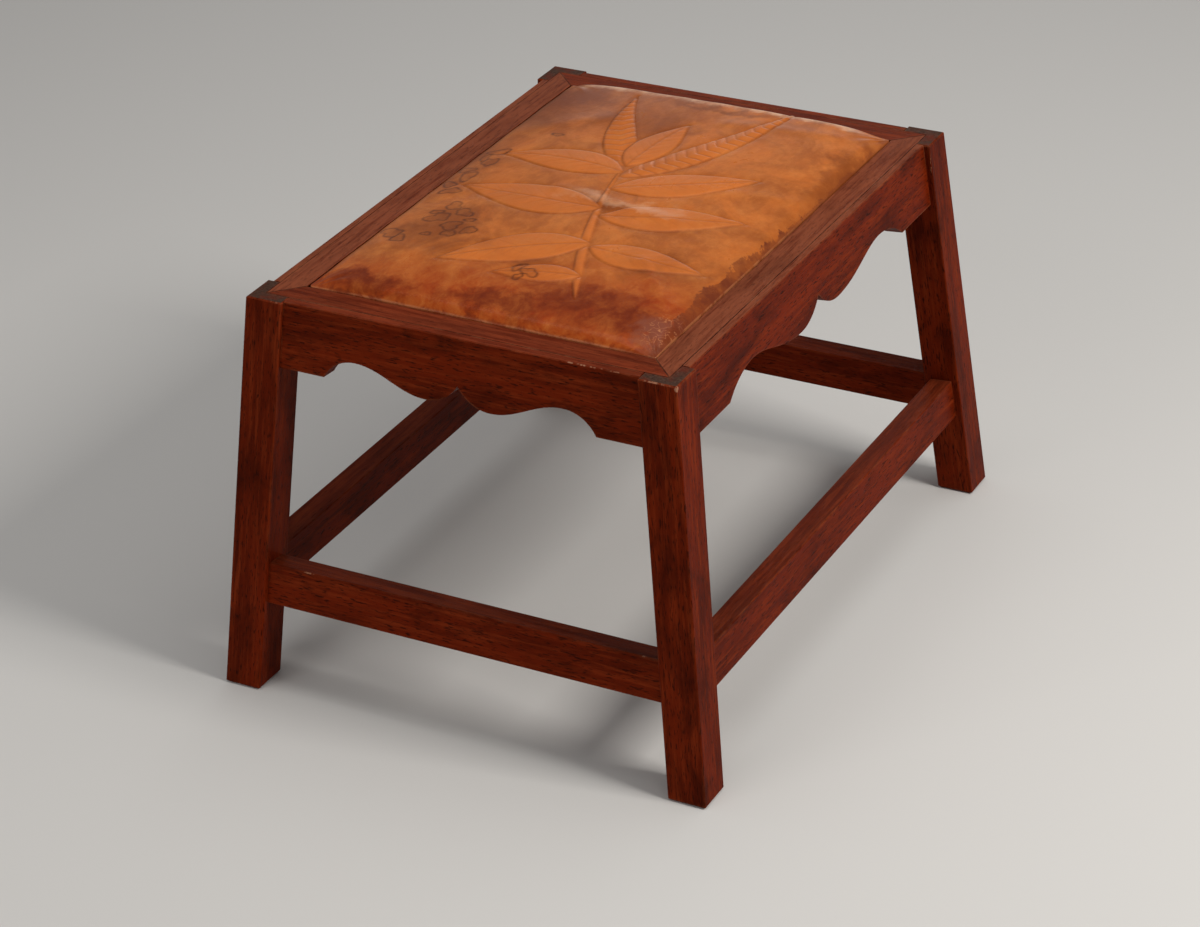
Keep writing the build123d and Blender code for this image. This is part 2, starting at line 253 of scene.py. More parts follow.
def wood_finish(name, grain_turn, shift, end_grain=False, seams=False, chips_and_glints=(), fade=0.28):
    """Stained hardwood whose grain runs along the first axis after the turn.

    Dark and middle tones follow the broad figure. Light streaks, a painted sheen on level faces
    (its share is fade), dark patches and pores lie over them. Dirt and painted shade in seams,
    end grain, rubbed edges, and pale chips and painted highlights come on top.
    """
    f = Finish(name)
    place = f.node("TexCoord").outputs["Object"]
    along = f.placed(place, turn=grain_turn, shift=shift)
    figure = f.noise(f.placed(along, (0.12, 1.0, 1.0)), 42.0, 4.0, 0.60, 0.7)
    streak = f.noise(f.placed(along, (0.06, 1.0, 1.0)), 250.0, 3.0, 0.65, 0.2)
    pore = f.noise(f.placed(along, (0.16, 1.0, 1.0)), 720.0, 2.0, 0.5)
    patch = f.noise(f.placed(along, (0.45, 1.0, 1.0)), 30.0, 4.0, 0.62, 0.5)
    colour = f.blend(f.span(figure, 0.35, 0.62), WOOD["dark"], WOOD["mid"])
    colour = f.blend(f.span(streak, 0.47, 0.76, 0.0, 0.65), colour, WOOD["light"])
    # painted sheen: level faces are blended towards a pale dusty red, and fine dark streaks stay in them
    upward = f.node("SeparateXYZ", Vector=f.node("TexCoord").outputs["Normal"]).outputs[2]
    level = f.span(upward, 0.6, 0.95)
    colour = f.blend(f.both(level, fade), colour, WOOD["painted_sheen"])
    fine_streak = f.both(f.span(streak, 0.52, 0.34, 0.0, 0.60), level)
    colour = f.blend(fine_streak, colour, WOOD["dark"])
    # dark patches and pores, half as strong on a level face
    shown = f.span(level, 0.0, 1.0, 1.0, 0.5)
    dark_patch = f.both(f.span(patch, 0.50, 0.72, 0.0, 0.80), shown)
    colour = f.blend(dark_patch, colour, WOOD["deep"])
    pores = f.span(pore, 0.56, 0.68)
    colour = f.blend(f.both(f.both(pores, 0.82), shown), colour, WOOD["pore"])
    parts = f.node("SeparateXYZ", Vector=place).outputs
    if seams:
        # dirt in the mitres and in the joint between seat frame and aprons, and painted shade in the
        # crevice between the rails and the leather
        from_middle = [f.size_of(parts[0]), f.size_of(parts[1])]
        offset = f.math("ADD", f.math("SUBTRACT", *from_middle), mitre_offset)
        mitre = f.span(f.size_of(offset), 0.0004, 0.0012, 1.0, 0.0)
        edges = zip(from_middle, (FRAME_X, FRAME_Y))
        joints = [f.span(value, edge - 0.0009, edge - 0.0004) for value, edge in edges]
        # painted shade on the rails' upright faces from 388 to 399.6 mm up, beside the leather
        gap = f.both(f.span(parts[2], 0.3996, 0.3990), f.span(parts[2], 0.386, 0.388))
        dirt_and_shade = f.either(f.either(mitre, f.either(*joints)), gap)
        colour = f.blend(f.both(dirt_and_shade, 0.85), colour, WOOD["dirt_and_shade"])
    if end_grain:
        top = f.both(f.span(upward, 0.75, 0.9), f.span(parts[2], 0.394, 0.397))
        speck = f.noise(place, 380.0, 3.0, 0.7)
        cloud = f.noise(place, 60.0, 3.0, 0.6)
        grey = f.blend(f.span(speck, 0.3, 0.7), WOOD["end_dark"], WOOD["end_light"])
        grey = f.blend(f.span(cloud, 0.45, 0.65, 0.0, 0.5), grey, WOOD["mid"])
        colour = f.blend(top, colour, grey)
    # stain rubbed off the edges
    rounded = f.node("Bevel", {"samples": 4}, Radius=0.0030).outputs[0]
    true = f.node("NewGeometry").outputs["Normal"]
    turnedness = f.vector("DOT_PRODUCT", rounded, true)["Value"]
    rub = f.span(f.noise(place, 38.0, 5.0, 0.7), 0.44, 0.62)
    worn = f.both(f.both(f.span(turnedness, 0.99, 0.80), rub), 0.70)
    colour = f.blend(worn, colour, WOOD["rubbed"])
    # pale chips, and pale spots and lines that are painted highlights
    if chips_and_glints:
        ragged = f.both(f.ovals(place, chips_and_glints), f.span(f.noise(place, 240.0, 3.0, 0.7), 0.38, 0.60))
        colour = f.blend(f.span(ragged, 0.20, 0.60, 0.0, 0.9), colour, WOOD["chip_and_glint"])
    f.set(f.shader, "Base Color", colour)
    f.set(f.shader, "Roughness", f.span(streak, 0.3, 0.7, 0.38, 0.52))
    f.set(f.shader, "Specular IOR Level", 0.03)
    f.set(f.shader, "Specular Tint", (1.0, 0.62, 0.48, 1.0))
    depth = f.math("SUBTRACT", f.both(figure, 0.25), pores)
    f.set(f.shader, "Normal", f.bump(depth, 0.40, 0.00025))
    return f.material


def block_finish(name, shift):
    """Plain paler wood of the parts that nobody sees."""
    f = Finish(name)
    along = f.placed(f.node("TexCoord").outputs["Object"], shift=shift)
    figure = f.noise(f.placed(along, (0.12, 1.0, 1.0)), 50.0, 4.0, 0.60, 0.7)
    streak = f.noise(f.placed(along, (0.05, 1.0, 1.0)), 260.0, 3.0, 0.65)
    colour = f.blend(f.span(figure, 0.35, 0.65), (0.135, 0.075, 0.040, 1.0), (0.230, 0.140, 0.080, 1.0))
    colour = f.blend(f.span(streak, 0.45, 0.75, 0.0, 0.6), colour, (0.090, 0.045, 0.024, 1.0))
    f.set(f.shader, "Base Color", colour)
    f.set(f.shader, "Roughness", 0.75)
    f.set(f.shader, "Normal", f.bump(streak, 0.4, 0.0003))
    return f.material


# %% Boards and their grain
SPLAY = math.radians(5.4)
FRAME_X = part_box("seat_rail_right")[1][0]
FRAME_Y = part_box("seat_rail_back")[1][1]
mitre_offset = FRAME_Y - FRAME_X
ALONG_X, ALONG_Y = (0.0, 0.0, 0.0), (0.0, 0.0, -math.pi / 2)
# Share of painted sheen on level faces: most on the boards that run along the sides
SIDE_SHEEN, END_SHEEN, STRETCHER_SHEEN = 0.72, 0.22, 0.16
# Pale chips and painted highlights by node: centre and half sizes of each oval, in millimetres
CHIPS_AND_GLINTS = {
    "apron_front": [
        ((122, -290, 400), (26, 1.3, 1.3)),
        ((143, -290, 400), (5, 1.5, 1.5)),
        ((156, -290, 400), (7, 1.2, 1.2)),
    ],
    "leg_front_right": [((198, -294, 400), (26, 1.6, 1.5)), ((217, -293.5, 399), (3.2, 3.2, 6))],
    "leg_front_left": [((-187, -294, 400), (6, 1.8, 1.6)), ((-177, -294, 400), (5, 1.6, 1.5))],
    # a pale line down the corner of the back right leg: partly a worn edge, partly a painted highlight
    "leg_back_right": [((218.5, 257.5, 362), (1.7, 1.7, 42))],
    # painted highlights on the top edge of the front stretcher
    "stretcher_front": [((-161, -314, 134), (8, 2, 1.6)), ((188, -313, 134), (4, 2, 1.6))],
}


def dress(node, material):
    """Give every face of a carried-over solid one material."""
    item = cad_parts[node]
    item.data.materials.clear()
    item.data.materials.append(material)


starts = iter(np.random.default_rng(11).uniform(-3.0, 3.0, (24, 3)))
for end, sign_y in (("front", 1), ("back", -1)):
    for side, sign_x in (("left", 1), ("right", -1)):
        upright = (sign_y * SPLAY, math.pi / 2 - sign_x * SPLAY, 0.0)
        leg = f"leg_{end}_{side}"
        chips_and_glints = CHIPS_AND_GLINTS.get(leg, ())
        dress(leg, wood_finish(leg + "_wood", upright, next(starts), end_grain=True, chips_and_glints=chips_and_glints))
        block = f"corner_block_{end}_{side}"
        dress(block, block_finish(block + "_wood", next(starts)))
for kind in ("apron", "stretcher", "seat_rail"):
    for where, grain in (("front", ALONG_X), ("back", ALONG_X), ("left", ALONG_Y), ("right", ALONG_Y)):
        name = f"{kind}_{where}"
        fade = SIDE_SHEEN if where in ("left", "right") else END_SHEEN
        fade = STRETCHER_SHEEN if kind == "stretcher" else fade
        extras = {"seams": kind == "seat_rail", "chips_and_glints": CHIPS_AND_GLINTS.get(name, ()), "fade": fade}
        dress(name, wood_finish(name + "_wood", grain, next(starts), **extras))
dress("seat_board", block_finish("seat_board_wood", next(starts)))
print("frame outside:", round(FRAME_X, 4), round(FRAME_Y, 4))

# %% [markdown]
# ## The seat as a surface
#
# The leather is stretched over padding: it springs steeply out of the frame, rounds a shoulder and
# rises in a gentle crown. In the four corners, and along the front and the sides, the padding has
# gone thin and the leather lies low. A cloth simulation would give the crown, but not crisp
# tooling, so the skin is written as a formula. The middle is a rectangular grid, fine enough for
# tooled lines. Round it run rings, each a rectangle with small round corners, which carry the
# steep side, the drop into the frame and the fold under the board. A coarser set makes the inner
# face of a closed shell. On the left a narrow gap is left between leather and frame.

# %% Taut leather
cover_low, cover_high = (np.array(corner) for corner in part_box("leather_cover"))
HALF_X, HALF_Y = (cover_high - cover_low)[:2] / 2
FRAME_TOP = 0.400
SEAM_LEVEL = FRAME_TOP + 0.4 * MM
RISE = 12.0 * MM
CROWN = 7.6 * MM
SHOULDER = 12.5 * MM
CORNER = 3.0 * MM
THIN_REACH, THIN_REACH_FAR = 17 * MM, 23 * MM
INNER_RING = 14.0 * MM
LEFT_GAP = 2.2 * MM


def shoulder(gap, ease=0.5):
    """Climb from 0 at the frame to 1 at the shoulder's width: a quarter ellipse, softer with more ease."""
    return (1 - (1 - np.clip(gap / SHOULDER, 0, 1)) ** 2) ** ease


def fullness(x, y):
    """Share of the full rise that thin padding leaves: it falls off towards the front and the sides."""
    left = 1 - 0.58 * np.exp(-(HALF_X + x) / (30 * MM))
    right = 1 - 0.50 * np.exp(-(HALF_X - x) / (26 * MM))
    front = 1 - 0.50 * np.exp(-(HALF_Y + y) / (30 * MM))
    return left * right * front


def taut_height(x, y):
    """Height of the skin: steep sides, low corners, and a crown of two flat-topped arches.

    The corners are low where the padding has gone thin, which reaches furthest at the far right.
    """
    gap_x, gap_y = HALF_X - np.abs(x), HALF_Y - np.abs(y)
    reach = np.where((x > 0) & (y > 0), THIN_REACH_FAR, THIN_REACH)
    corner = 1 - 0.80 * np.exp(-((np.hypot(gap_x, gap_y) / reach) ** 2))
    sides = shoulder(gap_x, 0.70) * shoulder(gap_y, np.where(y > 0, 0.5, 0.75))
    rise = RISE * sides * corner * fullness(x, y)
    across = 1 - np.clip(np.abs(x) / HALF_X, 0, 1) ** 2.6
    along = 1 - np.clip(np.abs(y) / HALF_Y, 0, 1) ** 2.8
    return SEAM_LEVEL + rise + CROWN * across * along


# %% [markdown]
# ## Folds and pleats
#
# Leather can't shrink round a corner, so it gathers there in short pleats that fan out from the
# corner. Along the sides it pulls in shallow waves between the tacks. Years of sitting have left
# a few long soft folds across the middle, each a low ridge along a line.

# %% Folds of the old leather
# Both ends of each fold, its half width and its height, in millimetres
FOLDS = [
    ((-48, -12), (92, -36), 9, 1.1),
    ((-34, -34), (104, -58), 11, -0.5),
    ((-150, -168), (-30, -204), 11, 0.7),
    ((96, -120), (150, -178), 8, 1.1),
    ((-158, 110), (-84, 160), 15, 0.7),
    ((30, 196), (140, 214), 11, 0.7),
    ((-150, -70), (-96, -30), 10, -0.6),
    ((86, 40), (160, 64), 10, 0.6),
]


def ridge(x, y, first, last, width):
    """Bell-shaped ridge along the line between two points, in millimetres."""
    ax, ay, bx, by = (v * MM for v in (*first, *last))
    run, climb = bx - ax, by - ay
    share = np.clip(((x - ax) * run + (y - ay) * climb) / (run**2 + climb**2), 0, 1)
    away = np.hypot(x - ax - share * run, y - ay - share * climb)
    return np.exp(-((away / (width * MM)) ** 2))


def creases(x, y):
    """Pleats that fan out of each corner, pull waves along the sides, and long folds."""
    gap_x, gap_y = HALF_X - np.abs(x), HALF_Y - np.abs(y)
    far = np.hypot(gap_x, gap_y)
    fan = np.arctan2(gap_y, gap_x)
    quarter = np.sign(x) * 1.7 + np.sign(y) * 2.9
    pleat = np.cos(13 * fan + quarter) + 0.6 * np.cos(21 * fan + 2 * quarter)
    corner = 0.75 * MM * pleat * (far / (20 * MM)) * np.exp(-((far / (24 * MM)) ** 2))
    pull_x = np.cos(y / (9.4 * MM) + 1.3 * np.sin(y / (40 * MM))) * np.exp(-gap_x / (15 * MM))
    pull_y = np.cos(x / (8.6 * MM) + 1.1 * np.sin(x / (36 * MM))) * np.exp(-gap_y / (15 * MM))
    slack = 0.6 * MM * np.sin(x / (38 * MM) + 1.0) * np.cos(y / (52 * MM) + 0.4)
    folds = sum(height * MM * ridge(x, y, first, last, width) for first, last, width, height in FOLDS)
    fade = shoulder(gap_x) * shoulder(gap_y)
    return fade * (corner + 0.32 * MM * (pull_x + pull_y) + slack + folds)


# %% [markdown]
# ## The tooling
#
# The picture on the leather is a plain botanical one: a bough with broad leaves and two ribbed
# fronds. A leather worker cuts the outlines, bevels the ground down outside them and presses ribs
# and veins with stamps. Each leaf is a shape in its own bent frame, s along its midrib and t
# across it. Its signed distance to the outline gives the cut, the bevel and the swelling inside,
# so one function makes every leaf. Three more arrays are kept beside the height, for the colours:
# how dark a cut is, together with painted shade on the bevelled ground beside each outline, where
# the brighter dye of the picture lies, and where puddles of dye dried.
# A puddle's edge is a circle whose radius wobbles in three waves.

# %% Leaf shapes
def leaf(x, y, root, heading, length, width, bend, belly):
    """Distance inside a leaf's outline, and the place along and across its bent midrib.

    The half width is a sine arch over the length, whose widest place moves with the belly.
    """
    angle = math.radians(heading)
    dx, dy = x - root[0] * MM, y - root[1] * MM
    s = dx * math.cos(angle) + dy * math.sin(angle)
    share = s / (length * MM)
    t = dy * math.cos(angle) - dx * math.sin(angle) - bend * MM * share**2
    half = 0.5 * width * MM * np.sin(math.pi * np.clip(share, 0, 1) ** belly)
    beyond = np.maximum(np.maximum(-s, s - length * MM), 0)
    return np.where(beyond > 0, -np.hypot(beyond, t), half - np.abs(t)), s, t


class Tooling:
    """Height, cut and painted shade, fill and tide of the tooled shapes laid so far."""

    CUT_WIDTH, CUT_DEPTH = 0.80 * MM, 0.5 * MM
    BEVEL_WIDTH, BEVEL_DEPTH = 3.6 * MM, 0.8 * MM
    # painted shade on the bevelled ground beside each outline: how far it reaches and how dark it is
    SHADE_WIDTH, SHADE = 3.4 * MM, 0.20
    TIDE_WIDTH, TIDE_WASH = 1.15 * MM, 0.18

    def __init__(self, x, y):
        self.x, self.y = x, y
        self.height, self.cut, self.fill, self.tide = (np.zeros_like(x) for _ in range(4))

    def press(self, inside, form, strength):
        """Lay one shape on top: ground bevelled down outside and darkened by painted shade, form inside, a
        cut on the line.
        """
        covered = inside > 0
        below = np.minimum(inside, 0)
        outside = np.exp(below / self.BEVEL_WIDTH)
        line = np.exp(-((inside / self.CUT_WIDTH) ** 2))
        ground = self.height * (1 - outside) - self.BEVEL_DEPTH * outside
        self.height = np.where(covered, form, ground) - self.CUT_DEPTH * line
        # painted shade on the ground just outside the outline
        shade = self.SHADE * np.exp(below / self.SHADE_WIDTH) * ~covered
        self.cut = np.maximum(np.where(covered, 0.0, np.maximum(self.cut, shade)), strength * line)
        self.fill = np.where(covered, np.clip(inside / (2.0 * MM), 0, 1), self.fill)

    def mark(self, inside, where, depth, strength):
        """Press a dark mark inside a shape."""
        self.height = self.height - depth * MM * where * (inside > 0)
        self.cut = np.maximum(self.cut, strength * where * (inside > 0))


def frond(tool, root, heading, length, width, bend):
    """Long frond of overlapping ribs, each a rounded saw tooth slanting back from the midrib."""
    inside, s, t = leaf(tool.x, tool.y, root, heading, length, width, bend, 0.60)
    phase = (s - 0.55 * np.abs(t)) / (0.36 * width * MM)
    tooth = phase - np.floor(phase)
    swell = np.clip(inside / (0.30 * width * MM), 0, 1) ** 0.5
    tool.press(inside, swell * (0.4 + 1.8 * tooth**0.7 * (1 - tooth**8)) * MM, 0.62)
    tool.mark(inside, np.exp(-((np.minimum(tooth, 1 - tooth) / 0.10) ** 2)), 0.3, 0.55)


def broad_leaf(tool, root, heading, length, width, bend):
    """Broad leaf: a low swell with a cut midrib and slanting veins."""
    inside, s, t = leaf(tool.x, tool.y, root, heading, length, width, bend, 0.78)
    swell = 1.3 * MM * np.sqrt(np.clip(inside / (0.5 * width * MM), 0, 1))
    tool.press(inside, swell, 0.60)
    tool.mark(inside, np.exp(-((t / (0.9 * MM)) ** 2)), 0.5, 0.44)
    phase = (s - 1.2 * np.abs(t)) / (0.30 * width * MM)
    vein = np.exp(-(((phase - np.round(phase)) * 0.30 * width / 0.8) ** 2))
    tool.mark(inside, vein * np.clip(1.1 - np.abs(t) / (0.40 * width * MM), 0, 1), 0.30, 0.28)


def puddle(tool, centre, radius, stretch, phases):
    """Dried puddle of dye: a dark line where the radius wobbles in three waves round a centre."""
    dx = (tool.x - centre[0] * MM) / stretch
    dy = (tool.y - centre[1] * MM) * stretch
    around = np.arctan2(dy, dx)
    waves = zip((2, 3, 5), (0.24, 0.16, 0.09), phases)
    wobble = 1 + sum(size * np.cos(count * around + phase) for count, size, phase in waves)
    away = np.hypot(dx, dy) - radius * MM * wobble
    line = np.exp(-((away / tool.TIDE_WIDTH) ** 2))
    tool.tide = np.maximum(tool.tide, np.maximum(line, tool.TIDE_WASH * (away < 0)))


def stem(tool, root, heading, length, width, bend):
    """Round stem that tapers to both ends."""
    inside, s, t = leaf(tool.x, tool.y, root, heading, length, width, bend, 0.55)
    tool.press(inside, 1.0 * MM * np.sqrt(np.clip(inside / (0.5 * width * MM), 0, 1)), 0.5)


# %% Picture on the seat
# Root, heading in degrees, length, width and bend of each shape, in millimetres
FRONDS = [((-12, 58), 128, 180, 34, -46), ((-6, 34), 55, 232, 35, 60)]
STEMS = [((72, -204), 116, 296, 10, -44)]
LEAVES = [
    ((-8, 44), 168, 134, 50, 22),
    ((-2, 6), 27, 142, 50, 14),
    ((10, -36), 186, 152, 58, -24),
    ((16, -52), 14, 136, 50, 18),
    ((36, -106), 206, 142, 54, 18),
    ((38, -112), 352, 116, 44, 16),
    ((-12, 58), 90, 118, 42, -10),
    ((58, -166), 188, 84, 32, 10),
]
# Centre and radius of each dried puddle, in millimetres
PUDDLES = [
    (-150, 54, 8), (-157, 38, 6), (-146, 28, 8), (-160, 8, 7), (-150, -8, 9), (-159, -28, 7),
    (-148, -44, 8), (-112, 104, 4), (-124, -78, 8), (-106, -90, 8), (-126, -106, 10), (-104, -120, 9),
    (-82, -124, 7), (-97, -136, 6), (-154, -144, 10), (-140, -156, 7), (-2, -172, 6), (12, -178, 7),
    (5, -188, 4), (-134, -94, 5), (-92, -104, 4), (-118, -142, 4),
]
wobbles = np.random.default_rng(5)
PUDDLE_FORMS = [(wobbles.uniform(0.78, 1.28), wobbles.uniform(0, 2 * math.pi, 3)) for _ in PUDDLES]


def tooled(x, y):
    """All shapes from the back layer to the front one, then the dried puddles."""
    tool = Tooling(x, y)
    for values in FRONDS:
        frond(tool, *values)
    for values in STEMS:
        stem(tool, *values)
    for values in LEAVES:
        broad_leaf(tool, *values)
    for (centre_x, centre_y, radius), (stretch, phases) in zip(PUDDLES, PUDDLE_FORMS):
        puddle(tool, (centre_x, centre_y), radius, stretch, phases)
    return tool


def averaged(x, y, spread):
    """Mean of the tooling over four places round each point, which keeps thin lines even."""
    layers = [tooled(x + dx * spread, y + dy * spread) for dx in (-1, 1) for dy in (-1, 1)]
    names = ("height", "cut", "fill", "tide")
    return [sum(getattr(layer, name) for layer in layers) / len(layers) for name in names]


print("tooled leaves:", len(LEAVES), "fronds:", len(FRONDS), "puddles:", len(PUDDLES))


# %% [markdown]
# ## From formulas to one closed mesh
#
# Two helpers make faces: one between the rows of a grid, one between two rings of equally many
# points. The rings start on the grid's own border, so every ring has a point for each border
# point, and the shell closes without a seam.

# %% Grids and rings
def grid_shape(step, divide=1):
    """Coordinates from -1 to 1 of the inner grid; the segment counts divide by four."""
    counts = [4 * round((half - INNER_RING) / step / 2) for half in (HALF_X, HALF_Y)]
    return np.meshgrid(*(np.linspace(-1, 1, count // divide + 1) for count in counts), indexing="ij")


def grid_faces(rows, columns, start=0, flip=False):
    """Quads of a grid whose points run row by row."""
    index = start + np.arange(rows * columns).reshape(rows, columns)
    quads = np.stack([index[:-1, :-1], index[1:, :-1], index[1:, 1:], index[:-1, 1:]], -1).reshape(-1, 4)
    return quads[:, ::-1] if flip else quads


def border(rows, columns):
    """Indices of a grid's outermost points, once round, anticlockwise seen from above."""
    index = np.arange(rows * columns).reshape(rows, columns)
    return np.concatenate([index[:-1, 0], index[-1, :-1], index[:0:-1, -1], index[0, :0:-1]])


def ring_faces(first, second):
    """Quads between two closed rings of equally many points."""
    return np.stack([first, second, np.roll(second, -1), np.roll(first, -1)], -1)


def ring_plan(square, inset):
    """A rectangle's ring at an inset; points past a corner's centre are pulled to its radius."""
    half = np.array([HALF_X - inset, HALF_Y - inset])
    radius = max(CORNER - inset, 0.0)
    points = square * half
    beyond = np.abs(points) - (half - radius)
    reach = np.linalg.norm(beyond, axis=1, keepdims=True)
    in_corner = (beyond > 0).all(axis=1, keepdims=True)
    pulled = np.where(in_corner, beyond * radius / np.maximum(reach, 1e-9), beyond)
    return np.sign(points) * (half - radius + pulled)


# Rings outside the grid, in millimetres: insets down the steep side, then insets and levels of the
# drop into the frame and the fold under the board, then those of the inner face
STEEP = [12.6, 11.2, 9.8, 8.5, 7.2, 6.0, 4.8, 3.7, 2.7, 1.8, 1.1, 0.55, 0.15, 0.0]
BELOW = [
    (0.0, 397.5), (0.0, 394.0), (0.0, 391.2), (0.25, 390.0),
    (0.8, 389.3), (1.6, 389.0), (14.0, 389.0), (28.0, 389.0),
]
INNER = [(28.0, 391.0), (16.0, 391.0), (2.2, 391.0), (2.2, 395.0), (2.4, 398.4)]
INNER_SHOULDER = (4.0, 7.0)
LINING = 2.2 * MM
SAMPLE_SPREAD = 0.32 * MM


class Shell:
    """Points, faces and numbers of a mesh that grows ring by ring."""

    def __init__(self):
        self.points, self.dyes, self.faces = [], [], []
        self.count = 0

    def add(self, points, dyes=0.0):
        """Append points, with three dye numbers each, and return their indices."""
        self.points.append(points)
        self.dyes.append(np.broadcast_to(dyes, (len(points), 3)))
        self.count += len(points)
        return np.arange(self.count - len(points), self.count)

    def add_level(self, plan, level):
        """Append plan points at one level, given in millimetres."""
        return self.add(np.column_stack([plan, np.full(len(plan), level * MM)]))

    def join(self, first, second):
        """Close the band between two rings and return the second one."""
        self.faces.append(ring_faces(first, second))
        return second


def skin(plan):
    """Top surface over plan points: taut height, folds and tooling."""
    x, y = plan.T
    relief, *dyes = averaged(x, y, SAMPLE_SPREAD)
    fade = shoulder(HALF_X - np.abs(x)) * shoulder(HALF_Y - np.abs(y))
    height = taut_height(x, y) + creases(x, y) + fade * relief
    return np.column_stack([plan, height]), np.column_stack(dyes)


def lining(plan):
    """Inner face under plan points, kept a leather's thickness below the taut skin."""
    x, y = plan.T
    return np.column_stack([plan, taut_height(x, y) - LINING])


def seat_shell(step):
    """Closed leather shell: top grid, rings down and under, then the coarser lining."""
    shell = Shell()
    gx, gy = grid_shape(step)
    size = np.array([HALF_X - INNER_RING, HALF_Y - INNER_RING])
    square = np.stack([gx, gy], -1).reshape(-1, 2)
    shell.add(*skin(square * size))
    shell.faces.append(grid_faces(*gx.shape))
    ring = border(*gx.shape)
    square = square[ring]
    for inset in STEEP:
        ring = shell.join(ring, shell.add(*skin(ring_plan(square, inset * MM))))
    for inset, level in BELOW:
        ring = shell.join(ring, shell.add_level(ring_plan(square, inset * MM), level))
    # the inner face has a point for every fourth one, so the hem's faces have seven corners
    coarse, fold = square[::4], ring.reshape(-1, 4)
    ring = shell.add_level(ring_plan(coarse, INNER[0][0] * MM), INNER[0][1])
    hem = np.column_stack([ring[:, None], np.roll(ring, -1), np.roll(fold[:, 0], -1), fold[:, ::-1]])
    for inset, level in INNER[1:]:
        ring = shell.join(ring, shell.add_level(ring_plan(coarse, inset * MM), level))
    for inset in INNER_SHOULDER:
        ring = shell.join(ring, shell.add(lining(ring_plan(coarse, inset * MM))))
    gx, gy = grid_shape(step, 4)
    start = shell.count
    shell.add(lining(np.stack([gx, gy], -1).reshape(-1, 2) * size))
    shell.join(ring, start + border(*gx.shape))
    shell.faces.append(grid_faces(*gx.shape, start=start, flip=True))
    points = np.concatenate(shell.points)
    points[:, 0] *= np.where(points[:, 0] < 0, 1 - LEFT_GAP / HALF_X, 1.0)
    faces = np.concatenate(shell.faces).tolist() + hem.tolist()
    return points, faces, np.concatenate(shell.dyes)


def new_piece(name, points, faces):
    """Smooth mesh object from arrays, linked to the scene."""
    mesh = bpy.data.meshes.new(name)
    mesh.from_pydata(np.asarray(points).tolist(), [], faces)
    mesh.polygons.foreach_set("use_smooth", np.full(len(mesh.polygons), True))
    mesh.update()
    item = bpy.data.objects.new(name, mesh)
    scene.collection.objects.link(item)
    return item


def add_attribute(piece, name, values):
    """One number for each point of a piece, for its material to read."""
    layer = piece.data.attributes.new(name, "FLOAT", "POINT")
    layer.data.foreach_set("value", np.asarray(values, float))


GRID_STEP = 1.35 * MM
skin_points, skin_faces, skin_dyes = seat_shell(GRID_STEP)
cover = new_piece("leather_seat_cover", skin_points, skin_faces)
for dye, values in zip(("cut", "fill", "tide"), skin_dyes.T):
    add_attribute(cover, dye, values)
print("leather:", len(skin_points), "points,", len(skin_faces), "faces")
print("top of the leather:", round(skin_points[:, 2].max(), 4))

# %% [markdown]
# ## The leather finish
#
# The hide was dyed by hand: orange tan in the middle, a deep red tan towards the front, browner
# at the back and along the sides, cloudy all over, and with dark tide lines where puddles of dye
# dried. The right side has a ragged stain. The roll at the back and the rear half of the left side
# are worn pale and carry a painted sheen, a painted sheen lies along the long fold, a strip of
# painted shade lies just inside the back roll, and painted shade darkens the leather where it
# comes lowest beside the frame. A thin glaze lies over the hide, so it shines more than the wood.
# The clouds are slow noise. Regions are oval fields with ragged outlines, because the coordinates
# they read are shaken by noise first. The three arrays made with the tooling darken the cuts and
# lay painted shade on the bevelled ground beside the outlines, brighten the picture and draw the
# tide lines.

# %% Leather material
# Centre and half sizes of each oval field, in millimetres
BROWN_FIELDS = [
    ((-160, 168, 412), (44, 100, 60)), ((-168, 10, 412), (34, 92, 60)), ((-104, -128, 412), (52, 60, 60)),
    ((-40, 160, 412), (60, 50, 60)), ((174, 150, 412), (20, 90, 60)), ((112, 244, 412), (60, 18, 60)),
    ((8, -166, 412), (28, 28, 60)), ((20, -34, 412), (62, 18, 60)), ((112, -128, 412), (46, 30, 60)),
    # the first oval on the line below, a brown strip just inside the back roll, is painted shade
    ((2, 234, 412), (74, 12, 60)), ((-136, 212, 412), (38, 34, 60)), ((-88, -138, 412), (42, 22, 60)),
]
RED_FIELDS = [
    ((82, -204, 414), (78, 42, 60)), ((134, -218, 410), (54, 30, 60)), ((10, -230, 410), (70, 22, 60)),
    ((-126, -236, 406), (66, 22, 60)), ((-146, 206, 414), (50, 50, 60)),
]
HIDE = {
    "tan": (0.510, 0.134, 0.022, 1.0), "dull_tan": (0.340, 0.086, 0.015, 1.0),
    "pale": (0.580, 0.190, 0.042, 1.0), "ember": (0.290, 0.036, 0.0036, 1.0),
    "red": (0.140, 0.017, 0.0024, 1.0), "brown": (0.198, 0.043, 0.0066, 1.0),
    "picture": (0.600, 0.155, 0.026, 1.0), "stain_and_low_shade": (0.130, 0.024, 0.0080, 1.0),
    "tide": (0.055, 0.0115, 0.0048, 1.0), "cut": (0.120, 0.022, 0.0060, 1.0),
    "raw": (0.500, 0.190, 0.075, 1.0), "rim": (0.700, 0.430, 0.270, 1.0),
    "bruise": (0.205, 0.052, 0.026, 1.0),
}


